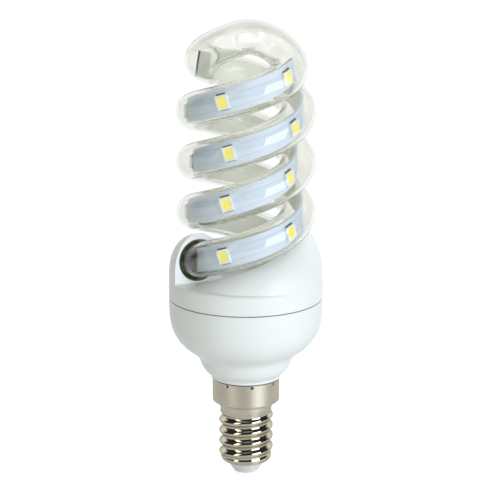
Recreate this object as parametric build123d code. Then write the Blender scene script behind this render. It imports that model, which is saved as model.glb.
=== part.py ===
from build123d import *
from math import atan, cos, pi, radians, sin, sqrt
import os

# Screw cap, E14, height measured from the contact to the top of the skirt
cap_height = 25.7
skirt_d = 17.0
skirt_length = 6.0
shoulder_drop = 1.3
shell_neck_d = 13.5
shell_wall = 0.3
thread_d = 13.8
thread_depth = 0.8
thread_pitch = 2.822
thread_foot = 4.2
thread_foot_step = 0.5
thread_head_gap = 1.5
thread_crest_z = 13.97
thread_steps = 6
rim_d = 9.8
rim_z = 3.0
punch_d = 0.9
punch_depth = 0.3
punch_count = 8
punch_drop = 0.9
punch_turn = 11.0

# Plug and contact in the end of the cap
plug_tip_d = 6.0
plug_tip_z = 0.35
plug_clearance = 0.2
plug_collar_h = 1.6
plug_bore_d = 1.9
contact_d = 4.2
contact_stem_d = 1.7
contact_stem_top = 6.0

# Lower housing, heights measured from the top of the cap
housing_d = 39.0
housing_height = 21.05
bowl_shoulder_in = 0.9
bowl_shoulder_h = 12.7
bowl_flank_in = 4.1
bowl_flank_h = 8.3
waist_out = 3.6
waist_h = 5.4
collar_out = 2.6
collar_h = 3.1
collar_foot_out = 1.6
collar_foot_h = 1.7
lip_out = 0.35
lip_h = 0.6
bowl_wall = 1.8
rim_wall = 1.6
neck_wall = 1.5
neck_clearance = 0.1
neck_end_gap = 0.05
seam_gap = 0.2
seam_depth = 0.6

# Board seat in the rim of the lower housing
board_t = 1.6
board_clearance = 0.2
ledge_width = 1.6
ledge_t = 1.2
ledge_slope = 0.8
seat_depth = 4.8

# Upper cover with two helical hoods
base_height = 5.2
base_round = 0.8
cover_wall = 1.4
hood_step = 0.05
hood_top_wall = 1.6
hood_side_wall = 1.2
hood_spring = 2.5
hood_sink = 1.8
hood_tail = 15.0
hood_turn = 180.0
hood_trim = 0.7
thick_wall_h = 1.7
lip_wall = 1.2
lip_clearance = 0.1
bead_d = 0.7
bead_inset = 0.05
bead_clearance = 0.1
bead_drop = 1.8

# Glass tube, two strands round one axis and a bridge fused on over the top
tube_d = 9.0
tube_wall = 0.75
tube_clearance = 0.55
room_clearance = 0.15
coil_pitch = 25.9
coil_turns = 1.8
socket_angle = 204.0
socket_lift = 5.75
tube_inset = 32.0
bridge_rise = 9.3
bridge_spans = 4
strand_spans = 12

# Lit strips in the tube
strip_side_gap = 0.65
strip_t = 0.6
strip_out = 0.4
strip_lean_a = 0.9
strip_lean_b = 0.5
strip_tail = 46.0
strip_past_coil = 26.0

# Light-emitting diodes on the strips
led_length = 3.6
led_width = 3.1
led_height = 0.7
led_lift = 0.05
led_notch = 0.5
led_window_length = 2.7
led_window_width = 2.1
led_window_depth = 0.45
led_fill_drop = 0.05
led_count = 9
led_first_a = 88.2
led_last_a = 16.2
led_first_b = 41.4
led_last_b = 47.0
solder_width = 2.4
solder_reach = 0.3
solder_height = 0.35

# Parts on the driver board
can_d = 8.0
can_floor = 5.5
can_offset = 5.2
can_edge = 0.5
can_groove = 0.3
can_groove_w = 0.7
can_groove_z = 1.8
core_d = 8.0
core_floor = 6.5
core_flange = 1.2
core_post_d = 4.0
winding_d = 7.4
winding_gap = 0.05
rectifier_length = 4.7
rectifier_width = 3.9
rectifier_height = 2.4
rectifier_y = 6.5
chip_length = 4.9
chip_width = 3.9
chip_height = 1.5
chip_y = 6.5
package_lift = 0.1
pin_width = 0.4
pin_reach = 1.0
pin_t = 0.2

# Fuse resistor and wires
fuse_d = 3.2
fuse_waist_d = 2.7
fuse_end = 1.8
fuse_length = 8.0
fuse_foot = 12.0
lead_d = 0.6
neutral_gap = 0.3
neutral_touch = 0.05
strip_lead_gap = 0.05
strip_lead_turn = 41.0
strip_lead_step = 5.0
strip_lead_drop = 1.0

# Cement round the tube ends
cement_gap = 0.02
cement_start = 8.0
cement_turn = 7.0

# Values that follow from those above
skirt_r = skirt_d / 2
housing_r = housing_d / 2
tube_r = tube_d / 2
socket_r = tube_r + tube_clearance
bore_r = tube_r - tube_wall
room_r = socket_r + room_clearance
coil_r = housing_r - hood_step - hood_side_wall - room_r
room_crown = room_r / cos(atan(coil_pitch / (2 * pi * coil_r)))
strip_width = 2 * (bore_r - strip_side_gap)
seam_z = cap_height + housing_height
seat_z = seam_z - seat_depth
can_length = housing_height - seat_depth - can_floor
core_length = housing_height - seat_depth - core_floor
seat_r = housing_r - rim_wall
board_top = seat_z + board_t
base_top = seam_z + base_height
socket_z = base_top + socket_lift
neck_r = skirt_r - shell_wall - neck_clearance
neck_bore_r = neck_r - neck_wall
skirt_foot = cap_height - skirt_length
neck_end = skirt_foot + neck_end_gap
thread_head = skirt_foot - shoulder_drop - thread_head_gap
thread_foot_r = thread_d / 2 - thread_foot_step
thread_mean_r = thread_d / 2 - thread_depth / 2
coil_end = socket_angle + 360 * coil_turns
opposite = Rot(0, 0, 180)


def strand_z(angle):
    return socket_z + coil_pitch * (angle - socket_angle) / 360


def radial(angle):
    return Vector(cos(radians(angle)), sin(radians(angle)), 0)


def strand_path(radius, start, end):
    rise = coil_pitch * (end - start) / 360
    return Location((0, 0, strand_z(start)), (0, 0, start)) * Helix(coil_pitch, rise, radius)


def round_sweep(radius, path):
    section = Plane(origin=path @ 0, z_dir=path % 0) * Circle(radius)
    return sweep(section, path=path, is_frenet=True)


def upright_sweep(section, start, end):
    path = strand_path(coil_r, start, end)
    plane = Plane(origin=path @ 0, x_dir=radial(start), z_dir=-radial(start + 90))
    return sweep(plane * section, path=path, is_frenet=True)


def ring(outer_r, inner_r, bottom, top):
    profile = Pos((outer_r + inner_r) / 2, (bottom + top) / 2) * Rectangle(outer_r - inner_r, top - bottom)
    return revolve(Plane.XZ * profile, Axis.Z)


def disc(radius, bottom, top):
    return Pos(0, 0, bottom) * Cylinder(radius, top - bottom, align=(Align.CENTER, Align.CENTER, Align.MIN))


def turned(*lines):
    return revolve(Plane.XZ * make_face(lines), Axis.Z)


def sleeve(outer, inner):
    outer_ends = outer.faces().filter_by(GeomType.PLANE)
    inner_ends = inner.faces().filter_by(GeomType.PLANE)
    walls = outer.faces() - outer_ends + (inner.faces() - inner_ends)
    mouths = []
    for end in outer_ends:
        hole = inner_ends.sort_by_distance(end.center())[0]
        mouths.append(Face(end.outer_wire(), [hole.outer_wire()]))
    return Solid(Shell(walls + mouths))


# Glass tube: each path is a chain of arcs through stations, and a station is a point with a heading
def strand_station(angle):
    heading = radial(angle + 90) * (2 * pi * coil_r) + Vector(0, 0, coil_pitch)
    return radial(angle) * coil_r + Vector(0, 0, strand_z(angle)), heading.normalized()


def bridge_station(part):
    turn = coil_end + 180 * part
    ease = 3 * part**2 - 2 * part**3
    lead_in = part**3 - 2 * part**2 + part
    height = strand_z(coil_end) + bridge_rise * ease + coil_pitch / 4 * lead_in
    climb = bridge_rise * 6 * (part - part**2) + coil_pitch / 4 * (3 * part**2 - 4 * part + 1)
    heading = radial(turn + 90) * (pi * coil_r / 2) + Vector(0, 0, climb)
    return (radial(coil_end) + radial(turn)) * (coil_r / 2) + Vector(0, 0, height), heading.normalized()


def arc_pair(first, second):
    start, ahead = first
    end, onward = second
    chord = end - start
    bend = 2 * (1 - ahead.dot(onward))
    run = chord.dot(ahead + onward)
    reach = (sqrt(run**2 + bend * chord.dot(chord)) - run) / bend
    joint = (start + ahead * reach + end - onward * reach) / 2
    return [TangentArc(start, joint, tangent=ahead), TangentArc(end, joint, tangent=-onward)]


def arc_chain(stations):
    arcs = []
    for first, second in zip(stations, stations[1:]):
        arcs += arc_pair(first, second)
    return arcs


def strand_chain():
    start = socket_angle - tube_inset
    step = (coil_end - start) / strand_spans
    return arc_chain([strand_station(start + step * index) for index in range(strand_spans + 1)])


def bridge_chain():
    rise = arc_chain([bridge_station(index / bridge_spans) for index in range(bridge_spans + 1)])
    return rise + [opposite * arc for arc in rise]


def tube(chain):
    path = Wire([arc.edge() for arc in chain])
    start = Plane(origin=path @ 0, z_dir=path % 0)
    return sleeve(sweep(start * Circle(tube_r), path=path), sweep(start * Circle(bore_r), path=path))


# Lit strips: flat bands wound with the tube
def strip_face_r():
    return coil_r + strip_out + strip_t / 2


def led_strip(lean):
    start = socket_angle - strip_tail
    path = Pos(lean, 0, 0) * strand_path(coil_r + strip_out, start, coil_end + strip_past_coil)
    section = Plane(origin=path @ 0, x_dir=radial(start), z_dir=path % 0) * Rectangle(strip_t, strip_width)
    return sweep(section, path=path, is_frenet=True)


def led_places(lean, first, last):
    step = (coil_end - socket_angle + strip_past_coil - first - last) / (led_count - 1)
    places = []
    for index in range(led_count):
        angle = socket_angle + first + step * index
        spot = radial(angle) * (strip_face_r() + led_lift) + Vector(lean, 0, strand_z(angle))
        along = strand_path(coil_r, angle, angle + step) % 0
        places.append(Plane(origin=spot, x_dir=along, z_dir=radial(angle)).location)
    return places


def led_body():
    outline = Rectangle(led_width, led_length)
    corner = outline.vertices().sort_by(Axis.X)[-1]
    body = extrude(chamfer(corner, led_notch), led_height)
    window = Rectangle(led_window_width, led_window_length)
    pocket = extrude(Pos(0, 0, led_height) * window, -led_window_depth)
    return body - pocket


def led_fill():
    window = Rectangle(led_window_width, led_window_length)
    fill_t = led_window_depth - led_fill_drop
    return extrude(Pos(0, 0, led_height - led_window_depth) * window, fill_t)


def led_solder():
    half = led_length / 2
    wedge = Polyline((half, 0), (half + solder_reach, 0), (half, solder_height), close=True)
    bead = extrude(Plane.YZ * make_face(wedge), solder_width / 2, both=True)
    return [bead, Rot(0, 0, 180) * bead]


def group(places, *pieces):
    return Compound([solid for place in places for piece in pieces for solid in (place * piece).solids()])


# Upper cover: low drum with two helical hoods over the tube ends
def hood(half_width, crown, spring, start, end):
    foot = -socket_lift - hood_sink
    outline = [
        Polyline((-half_width, -spring), (-half_width, foot), (half_width, foot), (half_width, -spring)),
        EllipticalCenterArc((0, -spring), half_width, crown + spring, arc_size=180),
    ]
    return upright_sweep(make_face(outline), start, end)


def above(shape, level):
    room = 4 * housing_r
    return shape & (Pos(0, 0, level) * Box(room, room, room, align=(Align.CENTER, Align.CENTER, Align.MIN)))


def cover_drum():
    top_edge = base_top - base_round
    slot_r = housing_r - seam_depth
    slot_top = seam_z + seam_gap
    return turned(
        Polyline((0, base_top), (0, seam_z), (slot_r, seam_z), (slot_r, slot_top), (housing_r, slot_top)),
        Line((housing_r, slot_top), (housing_r, top_edge)),
        RadiusArc((housing_r, top_edge), (housing_r - base_round, base_top), -base_round),
        Line((housing_r - base_round, base_top), (0, base_top)),
    )


def cover_lip():
    lip_r = seat_r - lip_clearance
    bead = Pos(0, 0, seam_z - bead_drop) * Torus(lip_r - bead_inset, bead_d / 2)
    return ring(lip_r, lip_r - lip_wall, board_top, seam_z + thick_wall_h) + bead


def upper_cover():
    face_turn = 360 * cover_wall / (2 * pi * coil_r)
    thick_top = seam_z + thick_wall_h
    tail_angle = socket_angle - hood_turn - hood_tail
    crown = room_crown + hood_top_wall
    shell = hood(room_r + hood_side_wall, crown, hood_spring, tail_angle, socket_angle)
    shell = above(shell, seam_z + hood_trim)
    room_end = socket_angle - face_turn
    room = above(hood(room_r, room_crown, 0, room_end - hood_turn, room_end), thick_top)
    mouth = round_sweep(socket_r, strand_path(coil_r, room_end - face_turn, socket_angle + face_turn))
    cover = cover_drum() + shell + opposite * shell
    cover -= disc(housing_r - rim_wall, thick_top, base_top - cover_wall)
    cover -= disc(seat_r - lip_clearance - lip_wall, seam_z, thick_top)
    cover += cover_lip()
    for cut in (room, mouth):
        cover = cover - cut - opposite * cut
    return cover


# Lower housing: bowl with a waist, a collar and a neck inside the cap
def bowl_points(inset):
    return [
        (housing_r - bowl_shoulder_in - inset, cap_height + bowl_shoulder_h),
        (housing_r - bowl_flank_in - inset, cap_height + bowl_flank_h),
        (skirt_r + waist_out - inset, cap_height + waist_h),
        (skirt_r + collar_out - inset, cap_height + collar_h),
    ]


def bowl_outside():
    lip_r = skirt_r + lip_out
    collar_foot = (skirt_r + collar_foot_out, cap_height + collar_foot_h)
    rim_edge = (housing_r, seam_z)
    lip = (lip_r, cap_height + lip_h)
    ends = [(0, -1), (-1, -1)]
    return turned(
        Spline(rim_edge, *bowl_points(0), collar_foot, lip, tangents=ends, tangent_scalars=[1, 1]),
        Polyline(lip, (lip_r, cap_height), (neck_r, cap_height), (neck_r, neck_end), (0, neck_end)),
        Polyline((0, neck_end), (0, seam_z), rim_edge),
    )


def bowl_inside():
    points = bowl_points(bowl_wall)
    ledge_r = seat_r - ledge_width
    ledge_foot = seat_z - ledge_t
    bore_top = (neck_bore_r, cap_height + lip_h)
    return turned(
        Polyline((0, neck_end), (0, seat_z), (ledge_r, seat_z), (ledge_r, ledge_foot)),
        Line((ledge_r, ledge_foot), (ledge_r + ledge_slope, ledge_foot - ledge_slope)),
        Spline((ledge_r + ledge_slope, ledge_foot - ledge_slope), *points[1:], bore_top),
        Polyline(bore_top, (neck_bore_r, neck_end), (0, neck_end)),
    )


def lower_housing():
    groove = Torus(seat_r - lip_clearance - bead_inset, bead_d / 2 + bead_clearance)
    housing = bowl_outside() - bowl_inside() - disc(seat_r, seat_z, seam_z)
    housing -= Pos(0, 0, seam_z - bead_drop) * groove
    for mark in punch_marks(shell_wall + neck_clearance):
        housing -= mark
    return housing


# Screw cap: thin shell with a rolled round thread
def punch_marks(grow):
    tip_r = punch_d / 2 + grow
    reach = skirt_r + punch_d / 2 - punch_depth
    marks = []
    for index in range(punch_count):
        turn = punch_turn - 90 + index * 360 / punch_count
        place = radial(turn) * reach + Vector(0, 0, cap_height - punch_drop)
        marks.append(Pos(place) * Sphere(tip_r))
    return marks


def thread_form(inset):
    turns = (thread_head - thread_foot) / thread_pitch
    steps = round(turns * thread_steps)
    fade_steps = thread_steps / 2
    sections = []
    for step in range(steps + 1):
        height = thread_foot + (thread_head - thread_foot) * step / steps
        lead_in = min(1, step / fade_steps)
        swing = thread_depth / 2 * min(lead_in, (steps - step) / fade_steps)
        mean_r = thread_foot_r + (thread_mean_r - thread_foot_r) * lead_in
        crest = 180 + 360 * (height - thread_crest_z) / thread_pitch
        centre = radial(crest) * swing + Vector(0, 0, height)
        sections.append(Pos(centre) * Circle(mean_r - inset))
    return loft(sections)


def shell_outline(inset):
    shoulder = (shell_neck_d / 2 - inset, skirt_foot - shoulder_drop)
    skirt = (skirt_r - inset, skirt_foot)
    bend = (skirt_r - inset, skirt_foot - shoulder_drop / 2)
    turn_in = (shell_neck_d / 2 - inset, skirt_foot - shoulder_drop / 2)
    neck = (thread_mean_r - inset, thread_head)
    return [
        Line((skirt_r - inset, cap_height), skirt),
        Bezier(skirt, bend, turn_in, shoulder),
        Line(shoulder, neck),
    ]


def shell_skirt():
    outer = shell_outline(0)
    inner = shell_outline(shell_wall)
    return turned(
        *outer,
        *inner,
        Line((skirt_r, cap_height), (skirt_r - shell_wall, cap_height)),
        Line((thread_mean_r, thread_head), (thread_mean_r - shell_wall, thread_head)),
    )


def shell_rim():
    top_r = thread_foot_r
    rim_r = rim_d / 2
    inner_rim = (rim_r, rim_z + shell_wall)
    return turned(
        RadiusArc((top_r, thread_foot), (rim_r, rim_z), top_r - rim_r),
        Line((rim_r, rim_z), inner_rim),
        RadiusArc(inner_rim, (top_r - shell_wall, thread_foot), rim_r - top_r + shell_wall),
        Line((top_r - shell_wall, thread_foot), (top_r, thread_foot)),
    )


def screw_shell():
    shell = shell_skirt() + sleeve(thread_form(0), thread_form(shell_wall)) + shell_rim()
    skirt_bore = disc(skirt_r - shell_wall / 2, skirt_foot, cap_height)
    for bump, dent in zip(punch_marks(shell_wall), punch_marks(0)):
        shell = shell + (bump & skirt_bore) - dent
    return shell


def cap_insulator():
    waist_r = rim_d / 2 - cement_gap
    collar_r = thread_d / 2 - thread_depth - shell_wall - plug_clearance
    collar_z = thread_foot + shell_wall
    plug_top = collar_z + plug_collar_h
    pin_r = plug_bore_d / 2
    outline = Polyline(
        (pin_r, plug_tip_z),
        (plug_tip_d / 2, plug_tip_z),
        (waist_r, rim_z),
        (waist_r, collar_z),
        (collar_r, collar_z),
        (collar_r, plug_top),
        (pin_r, plug_top),
        close=True,
    )
    return turned(outline)


def centre_contact():
    return disc(contact_d / 2, 0, plug_tip_z) + disc(contact_stem_d / 2, 0, contact_stem_top)


# Driver inside the housing
def driver_board():
    return disc(seat_r - board_clearance, seat_z, board_top)


def smoothing_capacitor():
    can = Cylinder(can_d / 2, can_length)
    can = chamfer(can.edges().filter_by(GeomType.CIRCLE), can_edge)
    groove = Cylinder(can_d / 2, can_groove_w) - Cylinder(can_d / 2 - can_groove, can_groove_w)
    can -= Pos(0, 0, can_length / 2 - can_groove_z) * groove
    return Pos(-can_offset, 0, seat_z - can_length / 2) * can


def inductor_core():
    core = Cylinder(core_d / 2, core_length)
    waist = core_length - 2 * core_flange
    core -= Cylinder(core_d / 2, waist) - Cylinder(core_post_d / 2, waist)
    return Pos(can_offset, 0, seat_z - core_length / 2) * core


def inductor_winding():
    waist = core_length - 2 * core_flange - 2 * winding_gap
    coil = Cylinder(winding_d / 2, waist) - Cylinder(core_post_d / 2 + winding_gap, waist)
    return Pos(can_offset, 0, seat_z - core_length / 2) * coil


def chip_package(length, width, height, pins_a_side, y):
    low = (Align.CENTER, Align.CENTER, Align.MIN)
    body = Pos(0, 0, package_lift) * Box(length, width, height - package_lift, align=low)
    pin = Box(pin_width, width + 2 * pin_reach, pin_t, align=low)
    pin += Box(pin_width, width + pin_reach, height / 2, align=low)
    gap = length / pins_a_side
    for index in range(pins_a_side):
        body += Pos(gap * (index + 0.5) - length / 2, 0, 0) * pin
    return Pos(0, y, board_top) * body


def bridge_rectifier():
    return chip_package(rectifier_length, rectifier_width, rectifier_height, 2, rectifier_y)


def driver_chip():
    return chip_package(chip_length, chip_width, chip_height, 4, -chip_y)


def fuse_resistor():
    end = disc(fuse_d / 2, 0, fuse_end)
    body = disc(fuse_waist_d / 2, 0, fuse_length) + end + Pos(0, 0, fuse_length - fuse_end) * end
    return Pos(0, 0, fuse_foot) * body


def live_lead():
    lower = disc(lead_d / 2, contact_stem_top, fuse_foot)
    upper = disc(lead_d / 2, fuse_foot + fuse_length, seat_z)
    return Compound([lower.solid(), upper.solid()])


def neutral_lead():
    lead_r = lead_d / 2
    foot = (0, -(shell_neck_d / 2 - shell_wall - neutral_touch - lead_r), skirt_foot - shoulder_drop)
    reach = neck_bore_r - neutral_gap - lead_r
    path = Polyline(foot, (0, -reach, neck_end), (0, -reach, seat_z))
    section = Plane(origin=path @ 0, z_dir=path % 0) * Circle(lead_r)
    return sweep(section, path=path, transition=Transition.RIGHT)


def strip_leads(lean):
    reach = coil_r + strip_out - strip_t / 2 - strip_lead_gap - lead_d / 2
    wires = []
    for turn in (strip_lead_turn, strip_lead_turn - strip_lead_step):
        foot = radial(socket_angle - turn) * reach + Vector(lean, 0, 0)
        top = strand_z(socket_angle - turn) - strip_lead_drop
        wires.append((Pos(foot) * disc(lead_d / 2, board_top, top)).solid())
    return Compound(wires)


def tube_cement():
    end = socket_angle - cement_start
    start = end - cement_turn
    bore = strand_path(coil_r, start - cement_turn, end + cement_turn)
    bead = upright_sweep(Circle(room_r - cement_gap), start, end) - round_sweep(tube_r + cement_gap, bore)
    return Compound([bead.solid(), (opposite * bead).solid()])


pieces = {
    "tube_strand_a": opposite * tube(strand_chain()),
    "tube_strand_b": tube(strand_chain()),
    "tube_bridge": tube(bridge_chain()),
    "led_strip_a": opposite * led_strip(strip_lean_a),
    "led_strip_b": led_strip(strip_lean_b),
    "upper_cover": upper_cover(),
    "lower_housing": lower_housing(),
    "screw_shell": screw_shell(),
    "cap_insulator": cap_insulator(),
    "centre_contact": centre_contact(),
    "driver_board": driver_board(),
    "smoothing_capacitor": smoothing_capacitor(),
    "inductor_core": inductor_core(),
    "inductor_winding": inductor_winding(),
    "bridge_rectifier": bridge_rectifier(),
    "driver_chip": driver_chip(),
    "fuse_resistor": fuse_resistor(),
    "live_lead": live_lead(),
    "neutral_lead": neutral_lead(),
    "strip_leads_a": opposite * strip_leads(strip_lean_a),
    "strip_leads_b": strip_leads(strip_lean_b),
    "tube_cement": tube_cement(),
}

places_a = [opposite * place for place in led_places(strip_lean_a, led_first_a, led_last_a)]
places_b = led_places(strip_lean_b, led_first_b, led_last_b)
for strand, places in (("a", places_a), ("b", places_b)):
    pieces["led_bodies_" + strand] = group(places, led_body())
    pieces["led_phosphor_" + strand] = group(places, led_fill())
    pieces["led_solder_" + strand] = group(places, *led_solder())

os.makedirs("parts", exist_ok=True)
for node, shape in pieces.items():
    export_step(shape, "parts/" + node + ".step")
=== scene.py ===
import math
import bpy
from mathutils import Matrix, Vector


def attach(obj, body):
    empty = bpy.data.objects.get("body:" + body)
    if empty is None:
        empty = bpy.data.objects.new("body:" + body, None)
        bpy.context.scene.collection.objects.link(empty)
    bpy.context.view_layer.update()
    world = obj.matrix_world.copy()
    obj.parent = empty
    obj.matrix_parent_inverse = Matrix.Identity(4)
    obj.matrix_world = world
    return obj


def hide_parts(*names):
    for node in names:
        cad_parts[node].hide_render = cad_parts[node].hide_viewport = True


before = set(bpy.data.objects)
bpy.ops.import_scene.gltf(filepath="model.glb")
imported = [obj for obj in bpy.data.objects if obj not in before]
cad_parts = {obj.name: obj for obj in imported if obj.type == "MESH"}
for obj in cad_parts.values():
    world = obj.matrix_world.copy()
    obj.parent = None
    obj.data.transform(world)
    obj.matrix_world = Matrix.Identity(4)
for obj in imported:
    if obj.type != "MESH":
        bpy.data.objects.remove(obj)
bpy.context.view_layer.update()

bpy.ops.object.select_all(action="DESELECT")


# Insulating plug of the screw cap. A milky urea moulding pressed into the end of the shell, which
# keeps the centre contact apart from the thread.
plug_cloud = 0.002
plug_wave_depth = 0.00005


# A colour in sRGB hex as the linear numbers that a shader takes.
def linear(hex_text):
    parts = [int(hex_text[i:i + 2], 16) / 255 for i in (1, 3, 5)]
    return [c / 12.92 if c <= 0.04045 else ((c + 0.055) / 1.055) ** 2.4 for c in parts] + [1]


# Adds a node with its settings and links. A numbered input counts the inputs in use, and a node given
# as a value is linked by its first output in use.
def node(tree, kind, inputs=None, **settings):
    made = tree.nodes.new("ShaderNode" + kind)
    for name, value in settings.items():
        setattr(made, name, value)
    in_use = [socket for socket in made.inputs if socket.enabled]
    for key, value in (inputs or {}).items():
        socket = in_use[key] if isinstance(key, int) else made.inputs[key]
        if isinstance(value, bpy.types.Node):
            value = next(output for output in value.outputs if output.enabled)
        if isinstance(value, bpy.types.NodeSocket):
            tree.links.new(value, socket)
        else:
            socket.default_value = value
    return made


# An empty material, its nodes, and the place on the piece that its patterns are laid out by.
def finish(name):
    made = bpy.data.materials.new(name)
    made.use_nodes = True
    tree = made.node_tree
    tree.nodes.clear()
    return made, tree, node(tree, "TexCoord").outputs["Object"]


def dress(piece, made):
    piece.data.materials.clear()
    piece.data.materials.append(made)


# Urea moulding: cool white, milky, a little gloss, with clouds about 2 mm across.
urea, tree, spot = finish("urea_moulding")
cloud = node(tree, "TexNoise", {"Vector": spot, "Scale": 1 / plug_cloud, "Detail": 3})
tone = node(tree, "Mix", {0: cloud, 1: linear("#e0e2e3"), 2: linear("#eff0f0")}, data_type="RGBA")
dull = node(tree, "MapRange", {"Value": cloud, "To Min": 0.25, "To Max": 0.35})
relief = node(tree, "Bump", {"Height": cloud, "Strength": 0.1, "Distance": plug_wave_depth})
skin = node(tree, "BsdfPrincipled", {
    "Base Color": tone,
    "Roughness": dull,
    "IOR": 1.52,
    "Normal": relief,
})
node(tree, "OutputMaterial", {"Surface": skin})
dress(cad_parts["cap_insulator"], urea)


# Centre contact. A pressed eyelet of tinned brass in the bore of the plug, where the spring of the
# holder rubs it.
rub_size = 0.0006
rub_depth = 0.00003

# Tinned brass: a warm grey metal, rubbed bright in some spots and left dull in others.
tin, tree, spot = finish("tinned_brass")
rub = node(tree, "TexNoise", {"Vector": spot, "Scale": 1 / rub_size, "Detail": 4})
tone = node(tree, "Mix", {0: rub, 1: linear("#a79f8d"), 2: linear("#d6d0c4")}, data_type="RGBA")
dull = node(tree, "MapRange", {"Value": rub, "To Min": 0.22, "To Max": 0.45})
relief = node(tree, "Bump", {"Height": rub, "Strength": 0.1, "Distance": rub_depth})
skin = node(tree, "BsdfPrincipled", {
    "Base Color": tone,
    "Roughness": dull,
    "Metallic": 1,
    "Normal": relief,
})
node(tree, "OutputMaterial", {"Surface": skin})
dress(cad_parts["centre_contact"], tin)


# Screw shell. Drawn brass sheet with a rolled thread and a plain skirt, nickel plated. Punch marks
# round the skirt hold it on the neck of the housing.
skirt_z = 0.0175
skirt_r = 0.0085
skirt_fade = 0.0004
shell_top = 0.0257
joint_line = 0.00045
joint_shade_foot = shell_top - joint_line
joint_shade_full = shell_top - 0.6 * joint_line
punch_z = 0.0232
dent_floor = skirt_r - 0.0002
dent_rim = skirt_r - 0.00005
blotch_size = 0.0035
ring_height = 0.00018
ring_length = 1 / 60
ring_depth = 0.00004
thread_dull = 0.05
skirt_dull = 0.45
ring_dull = 0.06


# The level way out from the lamp's axis to a point: LENGTH measures it, NORMALIZE gives its direction.
def from_axis(tree, spot, measure):
    level = node(tree, "VectorMath", {0: spot, 1: (1, 1, 0)}, operation="MULTIPLY")
    return node(tree, "VectorMath", {0: level}, operation=measure)


# Nickel plate: warm grey, a mirror on the thread, which comes bright from the rolls, and satin on the
# skirt, where rings from drawing pull the highlights out into upright bands. The rings are drawn
# coarser than they are, so that they show. Painted shade darkens the joint under the housing and the
# dents.
nickel, tree, spot = finish("nickel_plated_brass")
height = node(tree, "SeparateXYZ", {0: spot}).outputs["Z"]
ring_scale = (1 / ring_length, 1 / ring_length, 1 / ring_height)
ringed = node(tree, "Mapping", {"Vector": spot, "Scale": ring_scale})
rings = node(tree, "TexNoise", {"Vector": ringed, "Scale": 1, "Detail": 2})
blotch = node(tree, "TexNoise", {"Vector": spot, "Scale": 1 / blotch_size, "Detail": 2})
plain = node(tree, "MapRange", {
    "Value": height,
    "From Min": skirt_z - skirt_fade,
    "From Max": skirt_z + skirt_fade,
})
bright = node(tree, "Mix", {0: blotch, 1: linear("#cac3b0"), 2: linear("#d7d1c0")}, data_type="RGBA")
satin = node(tree, "Mix", {0: blotch, 1: linear("#d9d2c0"), 2: linear("#e6e0d1")}, data_type="RGBA")
tone = node(tree, "Mix", {0: plain, 1: bright, 2: satin}, data_type="RGBA")
dent = node(tree, "MapRange", {
    "Value": from_axis(tree, spot, "LENGTH"),
    "From Min": dent_floor,
    "From Max": dent_rim,
    "To Min": 1,
    "To Max": 0,
})
high = node(tree, "Math", {0: height, 1: punch_z}, operation="GREATER_THAN")
dent = node(tree, "Math", {0: dent, 1: high}, operation="MULTIPLY")
# Painted shade: a dark line in the joint under the lip of the housing, and in the punched dents.
joint_and_dent_shade = node(tree, "MapRange", {"Value": height, "From Min": joint_shade_foot, "From Max": joint_shade_full})
joint_and_dent_shade = node(tree, "Math", {0: joint_and_dent_shade, 1: dent}, operation="MAXIMUM")
tone = node(tree, "Mix", {0: joint_and_dent_shade, 1: tone, 2: linear("#4a4a42")}, data_type="RGBA")
dull = node(tree, "MapRange", {"Value": plain, "To Min": thread_dull, "To Max": skirt_dull})
rough = node(tree, "Math", {0: rings, 1: ring_dull, 2: dull}, operation="MULTIPLY_ADD")
relief = node(tree, "Bump", {"Height": rings, "Strength": 0.06, "Distance": ring_depth})
round_way = node(tree, "Tangent", direction_type="RADIAL", axis="Z")
skin = node(tree, "BsdfPrincipled", {
    "Base Color": tone,
    "Roughness": rough,
    "Metallic": 1,
    "Specular Tint": linear("#c8c6ba"),
    "Anisotropic": 0.5,
    "Anisotropic Rotation": 0.25,
    "Tangent": round_way,
    "Normal": relief,
})
node(tree, "OutputMaterial", {"Surface": skin})
dress(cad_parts["screw_shell"], nickel)


# Driver inside the housing. A small glass-fibre board with its capacitor, choke, rectifier and chip
# soldered to it, and the fuse resistor and stiff wires that join it to the cap and the strips. All of
# it is out of sight.
relief_share = 0.1


# A finish in two close tones, with fine unevenness of the same grain.
def mottled(name, dark, light, grain, roughness, metallic=0):
    made, tree, spot = finish(name)
    fleck = node(tree, "TexNoise", {"Vector": spot, "Scale": 1 / grain, "Detail": 3})
    tone = node(tree, "Mix", {0: fleck, 1: linear(dark), 2: linear(light)}, data_type="RGBA")
    relief = node(tree, "Bump", {"Height": fleck, "Strength": 0.15, "Distance": grain * relief_share})
    skin = node(tree, "BsdfPrincipled", {
        "Base Color": tone,
        "Roughness": roughness,
        "Metallic": metallic,
        "Normal": relief,
    })
    node(tree, "OutputMaterial", {"Surface": skin})
    return made


# Solder mask on glass fibre: even green with a soft gloss.
mask_green = mottled("solder_mask_on_glass_fibre", "#1f5a34", "#2f7346", grain=0.0012, roughness=0.4)
dress(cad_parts["driver_board"], mask_green)

# Shrink sleeve on an aluminium can: plain grey with a metal sheen.
sleeve = mottled("shrink_sleeve_on_can", "#8d9094", "#b4b7bb", grain=0.002, roughness=0.35, metallic=0.6)
dress(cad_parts["smoothing_capacitor"], sleeve)

# Sintered ferrite: near-black, dull and finely grainy.
ferrite = mottled("sintered_ferrite", "#232325", "#3a3a3d", grain=0.0005, roughness=0.7)
dress(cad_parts["inductor_core"], ferrite)

# Enamelled copper wire: warm brown metal under a glossy coat.
enamel = mottled("enamelled_copper", "#8a4a22", "#c07a3e", grain=0.0004, roughness=0.3, metallic=0.9)
dress(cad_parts["inductor_winding"], enamel)

# Epoxy moulding of the packages: black, half matt, very fine grain.
epoxy = mottled("black_epoxy_moulding", "#0f0f11", "#1d1d20", grain=0.0003, roughness=0.55)
dress(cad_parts["bridge_rectifier"], epoxy)
dress(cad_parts["driver_chip"], epoxy)

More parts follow.
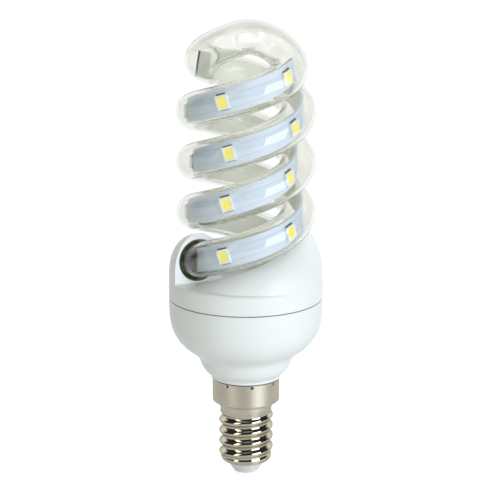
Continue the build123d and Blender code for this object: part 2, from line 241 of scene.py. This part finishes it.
# Lacquer on the resistor: grey-blue and glossy, uneven where it was dipped.
lacquer = mottled("lacquered_resistor", "#7c8a8f", "#9fb0b4", grain=0.0008, roughness=0.35)
dress(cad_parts["fuse_resistor"], lacquer)

# Tinned copper wire: pale grey bright metal.
tinned = mottled("tinned_copper", "#b9b6b0", "#d8d6d1", grain=0.0005, roughness=0.3, metallic=1)
for name in ("live_lead", "neutral_lead", "strip_leads_a", "strip_leads_b"):
    dress(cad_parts[name], tinned)


# Lower housing and upper cover. White PBT mouldings that snap together along a seam. The cover's two
# helical hoods have bores that take the ends of the tube.
housing_r = 0.0195
seam_z = 0.04675
seam_gap = 0.0002
seam_spread = 0.7
seam_shade_floor = housing_r - 0.0002
seam_shade_rim = housing_r - 0.00005
cover_top = 0.05195
coil_r = 0.01305
coil_pitch = 0.0259
coil_slope_cosine = 0.954
socket_z = 0.0577
socket_angle = 204
socket_r = 0.00505
smear_full = socket_r + 0.0001
smear_end = socket_r + 0.00025
smear_clear = 0.0003
pbt_grain = 0.0004
pbt_grain_depth = 0.00002
pbt_flow = 0.012
edge_r = 0.0003


# How far a point lies above or below the middle line of the nearest strand.
def off_strand(tree, spot):
    place = node(tree, "SeparateXYZ", {0: spot})
    turn = node(tree, "Math", {0: place.outputs["Y"], 1: place.outputs["X"]}, operation="ARCTAN2")
    fall = -coil_pitch / (2 * math.pi)
    climb = node(tree, "Math", {0: turn, 1: fall, 2: place.outputs["Z"]}, operation="MULTIPLY_ADD")
    start = socket_z - coil_pitch * socket_angle / 360
    above = node(tree, "Math", {0: climb, 1: start}, operation="SUBTRACT")
    return node(tree, "Math", {0: above, 1: coil_pitch / 4, 2: -coil_pitch / 4}, operation="WRAP")


# Moulded PBT: clean satin white with a fine spark-eroded grain and slightly eased edges. The slot of the
# seam is darkened with painted shade. The compound that seals the tube is smeared on the bores as a pale
# film further in, and at the mouth as an olive made darker by painted shade of the recess.
pbt, tree, spot = finish("moulded_white_pbt")
grain = node(tree, "TexNoise", {"Vector": spot, "Scale": 1 / pbt_grain, "Detail": 2})
flow = node(tree, "TexNoise", {"Vector": spot, "Scale": 1 / pbt_flow, "Detail": 2})
tone = node(tree, "Mix", {0: flow, 1: linear("#eceef0"), 2: linear("#f5f8fb")}, data_type="RGBA")
height = node(tree, "SeparateXYZ", {0: spot}).outputs["Z"]
slot_place = {0: height, 1: seam_z + seam_gap / 2, 2: seam_spread * seam_gap}
slot = node(tree, "Math", slot_place, operation="COMPARE")
reach = from_axis(tree, spot, "LENGTH")
depth = node(tree, "MapRange", {
    "Value": reach,
    "From Min": seam_shade_floor,
    "From Max": seam_shade_rim,
    "To Min": 1,
    "To Max": 0,
})
# Painted shade in the slot of the seam.
seam_shade = node(tree, "Math", {0: slot, 1: depth}, operation="MULTIPLY")
tone = node(tree, "Mix", {0: seam_shade, 1: tone, 2: linear("#50534b")}, data_type="RGBA")
aside = node(tree, "Math", {0: reach, 1: coil_r}, operation="SUBTRACT")
upward = node(tree, "Math", {0: off_strand(tree, spot), 1: coil_slope_cosine}, operation="MULTIPLY")
across = node(tree, "CombineXYZ", {0: aside, 1: upward})
across = node(tree, "VectorMath", {0: across}, operation="LENGTH")
bore = node(tree, "MapRange", {
    "Value": across,
    "From Min": smear_full,
    "From Max": smear_end,
    "To Min": 1,
    "To Max": 0,
})
top = node(tree, "Math", {0: height, 1: cover_top}, operation="GREATER_THAN")
inner_place = {0: height, 1: (seam_z + cover_top) / 2, 2: (cover_top - seam_z) / 2 - smear_clear}
inside = node(tree, "Math", inner_place, operation="COMPARE")
# At the mouth of each bore: olive compound, darkened further with painted shade of the recess.
mouth_compound_and_shade = node(tree, "Math", {0: bore, 1: top}, operation="MULTIPLY")
thin = node(tree, "Math", {0: bore, 1: inside}, operation="MULTIPLY")
tone = node(tree, "Mix", {0: thin, 1: tone, 2: linear("#e0ecc0")}, data_type="RGBA")
tone = node(tree, "Mix", {0: mouth_compound_and_shade, 1: tone, 2: linear("#70745a")}, data_type="RGBA")
dull = node(tree, "MapRange", {"Value": grain, "To Min": 0.34, "To Max": 0.46})
eased = node(tree, "Bevel", {"Radius": edge_r}, samples=6)
relief = node(tree, "Bump", {
    "Height": grain,
    "Strength": 0.12,
    "Distance": pbt_grain_depth,
    "Normal": eased,
})
skin = node(tree, "BsdfPrincipled", {
    "Base Color": tone,
    "Roughness": dull,
    "IOR": 1.5,
    "Normal": relief,
})
node(tree, "OutputMaterial", {"Surface": skin})
dress(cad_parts["lower_housing"], pbt)
dress(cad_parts["upper_cover"], pbt)


# Cement. A ring of compound round each end of the tube, which holds and seals it in its hood.
# Olive sealing compound: a muddy green, nearly matt, blotchy where it was spread.
compound = mottled("olive_sealing_compound", "#4e5238", "#6a6e50", grain=0.0015, roughness=0.6)
dress(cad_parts["tube_cement"], compound)


# Lit strips. A narrow board of white laminate is wound into each strand, with solder mask on the face
# that carries the diodes. It runs on a little into the bridge, and its tail in the hood is darkened
# to olive with painted shade.
coil_turns = 1.8
joint_z = socket_z + coil_turns * coil_pitch
change_below = 0.0001
change_above = 0.0002
track_gap = 0.0002
track_place = 0.0017
fleck_size = 0.0015
fleck_depth = 0.00003
face_turn = 0.2
side_turn = 0.3
end_slope = 0.6

# Solder mask on laminate: pale blue-white in front, where two thin gaps between the copper tracks show
# faintly, near-white behind, with painted grey shade behind past the joint with the bridge, and dark
# where it is cut. The tail in the hood is darkened to olive with painted shade.
mask, tree, spot = finish("pale_mask_on_laminate")
normal = node(tree, "NewGeometry").outputs["True Normal"]
outward = from_axis(tree, spot, "NORMALIZE")
facing = node(tree, "VectorMath", {0: outward, 1: normal}, operation="DOT_PRODUCT")
front = node(tree, "MapRange", {"Value": facing, "From Min": -face_turn, "From Max": face_turn})
shift = off_strand(tree, spot)
across = node(tree, "Math", {0: shift}, operation="ABSOLUTE")
height = node(tree, "SeparateXYZ", {0: spot}).outputs["Z"]
middle = node(tree, "Math", {0: height, 1: shift}, operation="SUBTRACT")
hood_tail_shade = node(tree, "MapRange", {
    "Value": middle,
    "From Min": socket_z - change_below,
    "From Max": socket_z + change_above,
    "To Min": 1,
    "To Max": 0,
})
gap = node(tree, "Math", {0: across, 1: track_place, 2: track_gap}, operation="COMPARE")
fleck = node(tree, "TexNoise", {"Vector": spot, "Scale": 1 / fleck_size, "Detail": 3})
face = node(tree, "Mix", {0: fleck, 1: linear("#d6e2f6"), 2: linear("#dfebfc")}, data_type="RGBA")
track = node(tree, "Mix", {0: gap, 1: face, 2: linear("#d2def1")}, data_type="RGBA")
back = node(tree, "Mix", {0: fleck, 1: linear("#eceee4"), 2: linear("#f6f7f0")}, data_type="RGBA")
# Painted shade: the back goes grey past the joint with the bridge.
past_joint_shade = node(tree, "MapRange", {
    "Value": middle,
    "From Min": joint_z - change_below,
    "From Max": joint_z + change_above,
})
back = node(tree, "Mix", {0: past_joint_shade, 1: back, 2: linear("#c6c7bf")}, data_type="RGBA")
tone = node(tree, "Mix", {0: front, 1: back, 2: track}, data_type="RGBA")
sides = node(tree, "Math", {0: facing, 1: 0, 2: side_turn}, operation="COMPARE")
slope = node(tree, "SeparateXYZ", {0: normal}).outputs["Z"]
level = node(tree, "Math", {0: slope, 1: 0, 2: end_slope}, operation="COMPARE")
cut = node(tree, "Math", {0: sides, 1: level}, operation="MULTIPLY")
tone = node(tree, "Mix", {0: cut, 1: tone, 2: linear("#3a3a35")}, data_type="RGBA")
# Painted shade: the tail of the strip inside the hood is darkened to olive.
tone = node(tree, "Mix", {0: hood_tail_shade, 1: tone, 2: linear("#849060")}, data_type="RGBA")
dull = node(tree, "MapRange", {"Value": fleck, "To Min": 0.4, "To Max": 0.5})
relief = node(tree, "Bump", {"Height": fleck, "Strength": 0.08, "Distance": fleck_depth})
skin = node(tree, "BsdfPrincipled", {
    "Base Color": tone,
    "Roughness": dull,
    "Specular IOR Level": 0.7,
    "Normal": relief,
})
node(tree, "OutputMaterial", {"Surface": skin})
dress(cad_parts["led_strip_a"], mask)
dress(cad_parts["led_strip_b"], mask)


# Light-emitting diodes. White moulded packages, soldered to the strip at both ends, with phosphor in
# clear resin filling the window of each.
powder_size = 0.0009
powder_depth = 0.00003

# Package moulding: plain white, satin.
package = mottled("white_diode_package", "#fbfaf6", "#ffffff", grain=0.0008, roughness=0.4)

# Solder left from the oven: dull grey with a trace of metal.
solder = mottled("dull_solder", "#5d5c58", "#8f8d87", grain=0.0004, roughness=0.5, metallic=0.4)

# Phosphor in resin: strong yellow under a smooth surface, a little brighter than its surroundings: it
# fluoresces in any light, and a painted glow stands in for that.
phosphor, tree, spot = finish("phosphor_in_resin")
powder = node(tree, "TexNoise", {"Vector": spot, "Scale": 1 / powder_size, "Detail": 3})
tone = node(tree, "Mix", {0: powder, 1: linear("#fff04c"), 2: linear("#fff68a")}, data_type="RGBA")
dull = node(tree, "MapRange", {"Value": powder, "To Min": 0.25, "To Max": 0.4})
relief = node(tree, "Bump", {"Height": powder, "Strength": 0.1, "Distance": powder_depth})
skin = node(tree, "BsdfPrincipled", {
    "Base Color": tone,
    "Roughness": dull,
    "IOR": 1.45,
    # Painted glow, standing in for fluorescence.
    "Emission Color": tone,
    "Emission Strength": 0.15,
    "Normal": relief,
})
node(tree, "OutputMaterial", {"Surface": skin})
for strand in "ab":
    dress(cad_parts["led_bodies_" + strand], package)
    dress(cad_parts["led_solder_" + strand], solder)
    dress(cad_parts["led_phosphor_" + strand], phosphor)


# Clear tube. Two wound strands of glass and the bridge fused on over the top, made as the single skin
# that they are together. A line along the middle of the tube carries a round section, a little thicker
# where a strand is fused to the bridge, and the wall is set in from it.
tube_r = 0.0045
tube_wall = 0.00075
tube_inset = 32
bridge_rise = 0.0093
joint_swell = 0.025
joint_reach = 2.5
strand_steps = 272
bridge_steps = 36
round_steps = 28
smooth_below = 40
glass_wave = 0.009
glass_wave_depth = 0.0002
tube_start = socket_angle - tube_inset
coil_end = socket_angle + 360 * coil_turns
# Half a turn of the bridge, on half the radius, is as long as this much of the coil.
bridge_span = 90

half = []
for step in range(strand_steps):
    angle = tube_start + (coil_end - tube_start) * step / strand_steps
    turn = math.radians(angle)
    rise = coil_pitch * (angle - socket_angle) / 360
    swell = 1 + joint_swell * math.exp(-((angle - coil_end) / joint_reach) ** 2)
    half.append((coil_r * math.cos(turn), coil_r * math.sin(turn), socket_z + rise, swell))
first = math.radians(coil_end)
for step in range(bridge_steps + 1):
    part = step / bridge_steps
    turn = math.radians(coil_end + 180 * part)
    x = coil_r / 2 * (math.cos(first) + math.cos(turn))
    y = coil_r / 2 * (math.sin(first) + math.sin(turn))
    # The bridge leaves the strand along its slope and is level over the axis.
    rise = bridge_rise * (3 * part**2 - 2 * part**3) + coil_pitch / 4 * (part**3 - 2 * part**2 + part)
    swell = 1 + joint_swell * math.exp(-(bridge_span * part / joint_reach) ** 2)
    half.append((x, y, joint_z + rise, swell))
route = half + [(-x, -y, z, swell) for x, y, z, swell in reversed(half[:-1])]

line = bpy.data.curves.new("glass_tube", "CURVE")
line.dimensions = "3D"
line.bevel_depth = tube_r
line.bevel_resolution = round_steps
spline = line.splines.new("POLY")
spline.points.add(len(route) - 1)
for point, (x, y, z, swell) in zip(spline.points, route):
    point.co = (x, y, z, 1)
    point.radius = swell
glass_tube = bpy.data.objects.new("glass_tube", line)
bpy.context.scene.collection.objects.link(glass_tube)
bpy.context.view_layer.objects.active = glass_tube
glass_tube.select_set(True)
bpy.ops.object.convert(target="MESH")
glass_tube = bpy.context.view_layer.objects.active
wall = glass_tube.modifiers.new("wall", "SOLIDIFY")
wall.thickness = tube_wall
wall.offset = -1
bpy.ops.object.modifier_apply(modifier="wall")
bpy.ops.object.shade_smooth_by_angle(angle=math.radians(smooth_below))
bpy.ops.object.select_all(action="DESELECT")

# Clear borosilicate: colourless and polished, with faint waves from drawing and a trace of grey-green
# in its thick edges. Lamps shine through it, so it leaves no shadow of its own.
glass, tree, spot = finish("clear_borosilicate")
wave = node(tree, "TexNoise", {"Vector": spot, "Scale": 1 / glass_wave, "Detail": 1})
relief = node(tree, "Bump", {"Height": wave, "Strength": 0.03, "Distance": glass_wave_depth})
edge = node(tree, "LayerWeight", {"Blend": 0.35}).outputs["Facing"]
tone = node(tree, "Mix", {0: edge, 1: linear("#f9f9f6"), 2: linear("#d5d6cf")}, data_type="RGBA")
clear = node(tree, "BsdfPrincipled", {
    "Base Color": tone,
    "Roughness": 0,
    "IOR": 1.47,
    "Transmission Weight": 1,
    "Normal": relief,
})
ray = node(tree, "LightPath").outputs
through = node(tree, "Math", {0: ray["Is Shadow Ray"], 1: ray["Is Diffuse Ray"]}, operation="MAXIMUM")
lets = node(tree, "BsdfTransparent", {"Color": linear("#ffffff")})
both = node(tree, "MixShader", {0: through, 1: clear, 2: lets})
node(tree, "OutputMaterial", {"Surface": both})
dress(glass_tube, glass)
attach(glass_tube, "root")
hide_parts("tube_strand_a", "tube_strand_b", "tube_bridge")


# Studio floor. A sheet of white paper that runs out past the view, just under the lamp's end contact.
floor_size = 6
floor_z = -0.0002
paper_glow = 0.84
mirrored_behind = 0.8
mirrored_ahead = 0.5
behind_from = -0.9
behind_to = -0.2
mirrored_pool = 0.85
pool_angle = math.radians(40)
pool_from = 0.88
pool_to = 0.98
bpy.ops.mesh.primitive_plane_add(size=floor_size, location=(0, 0, floor_z))
floor = bpy.context.object
floor.name = "studio_floor"

# White paper: matt, so that it takes the shadow, with a glow that makes it as white as the room to the
# eye and through glass. What metal mirrors of it is painted light: dimmer in front than behind, with a
# painted pool of light towards the key lamp.
paper, tree, spot = finish("white_paper_sweep")
ray = node(tree, "LightPath").outputs
away = from_axis(tree, spot, "NORMALIZE")
ahead = node(tree, "VectorMath", {0: away, 1: (0, -1, 0)}, operation="DOT_PRODUCT")
painted_front_dimming = node(tree, "MapRange", {
    "Value": ahead,
    "From Min": behind_from,
    "From Max": behind_to,
    "To Min": mirrored_behind,
    "To Max": mirrored_ahead,
})
key_way = (math.sin(pool_angle), -math.cos(pool_angle), 0)
along = node(tree, "VectorMath", {0: away, 1: key_way}, operation="DOT_PRODUCT")
painted_pool = node(tree, "MapRange", {
    "Value": along,
    "From Min": pool_from,
    "From Max": pool_to,
    "To Max": mirrored_pool,
})
# Painted light on the floor as metal mirrors it.
floor_light = node(tree, "Math", {0: painted_front_dimming, 1: painted_pool}, operation="MAXIMUM")
shine = node(tree, "Math", {0: ray["Is Glossy Ray"], 1: floor_light}, operation="MULTIPLY")
seen = node(tree, "Math", {0: ray["Is Camera Ray"], 1: shine}, operation="MAXIMUM")
seen = node(tree, "Math", {0: seen, 1: ray["Is Transmission Ray"]}, operation="MAXIMUM")
shown = node(tree, "Math", {0: seen, 1: ray["Is Glossy Ray"]}, operation="MAXIMUM")
grey = node(tree, "Mix", {0: shown, 1: linear("#f4f4f4"), 2: linear("#989a9e")}, data_type="RGBA")
matt = node(tree, "BsdfDiffuse", {"Color": grey})
share = node(tree, "Math", {0: seen, 1: paper_glow}, operation="MULTIPLY")
glow = node(tree, "Emission", {"Color": linear("#ffffff"), "Strength": share})
both = node(tree, "AddShader", {0: matt, 1: glow})
node(tree, "OutputMaterial", {"Surface": both})
dress(floor, paper)


# Studio room. White to the eye and through glass, and a soft light all round on matt surfaces. In
# gloss it is white overhead and behind and dark elsewhere, so that bright metal has a dark side.
room_light = 0.27
dark_wall = (0.03, 0.03, 0.03, 1)
white_up_from = 0.85
white_up_full = 0.97
white_back_from = 0.25
white_back_full = 0.5
room = bpy.data.worlds.new("white_room")
bpy.context.scene.world = room
room.use_nodes = True
tree = room.node_tree
tree.nodes.clear()
way = node(tree, "SeparateXYZ", {0: node(tree, "TexCoord").outputs["Generated"]}).outputs
low = node(tree, "MapRange", {
    "Value": way["Z"],
    "From Min": white_up_from,
    "From Max": white_up_full,
    "To Min": 1,
    "To Max": 0,
})
near = node(tree, "MapRange", {
    "Value": way["Y"],
    "From Min": white_back_from,
    "From Max": white_back_full,
    "To Min": 1,
    "To Max": 0,
})
band = node(tree, "Math", {0: near, 1: low}, operation="MULTIPLY")
walls = node(tree, "Mix", {0: band, 1: linear("#ffffff"), 2: dark_wall}, data_type="RGBA")
soft = node(tree, "Background", {"Color": linear("#f9fddc"), "Strength": room_light})
white = node(tree, "Background", {"Color": linear("#ffffff"), "Strength": 1})
mirrored = node(tree, "Background", {"Color": walls, "Strength": 1})
ray = node(tree, "LightPath").outputs
seen = node(tree, "Math", {0: ray["Is Camera Ray"], 1: ray["Is Transmission Ray"]}, operation="MAXIMUM")
both = node(tree, "MixShader", {0: seen, 1: soft, 2: white})
both = node(tree, "MixShader", {0: ray["Is Glossy Ray"], 1: both, 2: mirrored})
node(tree, "OutputWorld", {"Surface": both})


# Studio lamps. A large key softbox on the right, a fill in front, two softboxes for the back, and a card
# on the left that shows only as a highlight. Each stands so many degrees aside of the camera and up.
lamp_aim = Vector((0, 0, 0.06))
for name, side, up, reach, wide, tall, power, colour, in_gloss, in_glass, on_matt in (
    ("key_softbox", 46, 17, 0.9, 0.62, 0.76, 5.25, "#f0f7ff", True, True, True),
    ("reflector_card", -46, 25, 1.1, 0.4, 1.1, 3.0, "#fffaf2", True, False, False),
    ("front_softbox", -4, 18, 1.0, 0.5, 0.5, 2.2, "#f6faff", False, False, True),
    ("right_back_softbox", 150, 30, 1.0, 0.6, 0.6, 3.9, "#f0f5ff", False, False, True),
    ("left_back_softbox", -155, 30, 1.0, 0.6, 0.6, 2.0, "#fffdf4", False, False, True),
):
    lamp = bpy.data.lights.new(name, "AREA")
    lamp.shape = "RECTANGLE"
    lamp.size = wide
    lamp.size_y = tall
    lamp.energy = power
    lamp.color = linear(colour)[:3]
    stand = bpy.data.objects.new(name, lamp)
    stand.visible_glossy = in_gloss
    stand.visible_transmission = in_glass
    stand.visible_diffuse = on_matt
    bpy.context.scene.collection.objects.link(stand)
    turn = math.radians(side)
    lift = math.radians(up)
    way = Vector((math.sin(turn) * math.cos(lift), -math.cos(turn) * math.cos(lift), math.sin(lift)))
    stand.location = lamp_aim + way * reach
    stand.rotation_euler = way.to_track_quat("Z", "Y").to_euler()

# Light passes many walls of glass on its way through the coil.
bpy.context.scene.cycles.max_bounces = 24
bpy.context.scene.cycles.glossy_bounces = 12
bpy.context.scene.cycles.transmission_bounces = 24
bpy.context.scene.cycles.transparent_max_bounces = 48


# Camera. A long lens in front of the lamp, looking down on it a little.
camera_tilt = math.radians(15)
camera_reach = 0.7
camera_aim = Vector((0.00106, 0, 0.0589))
lens = bpy.data.cameras.new("camera")
lens.sensor_width = 36
lens.lens = 199.1
camera = bpy.data.objects.new("camera", lens)
bpy.context.scene.collection.objects.link(camera)
camera_way = Vector((0, -math.cos(camera_tilt), math.sin(camera_tilt)))
camera.location = camera_aim + camera_way * camera_reach
camera.rotation_euler = (math.radians(90) - camera_tilt, 0, 0)
bpy.context.scene.camera = camera
bpy.context.scene.view_settings.view_transform = "Standard"
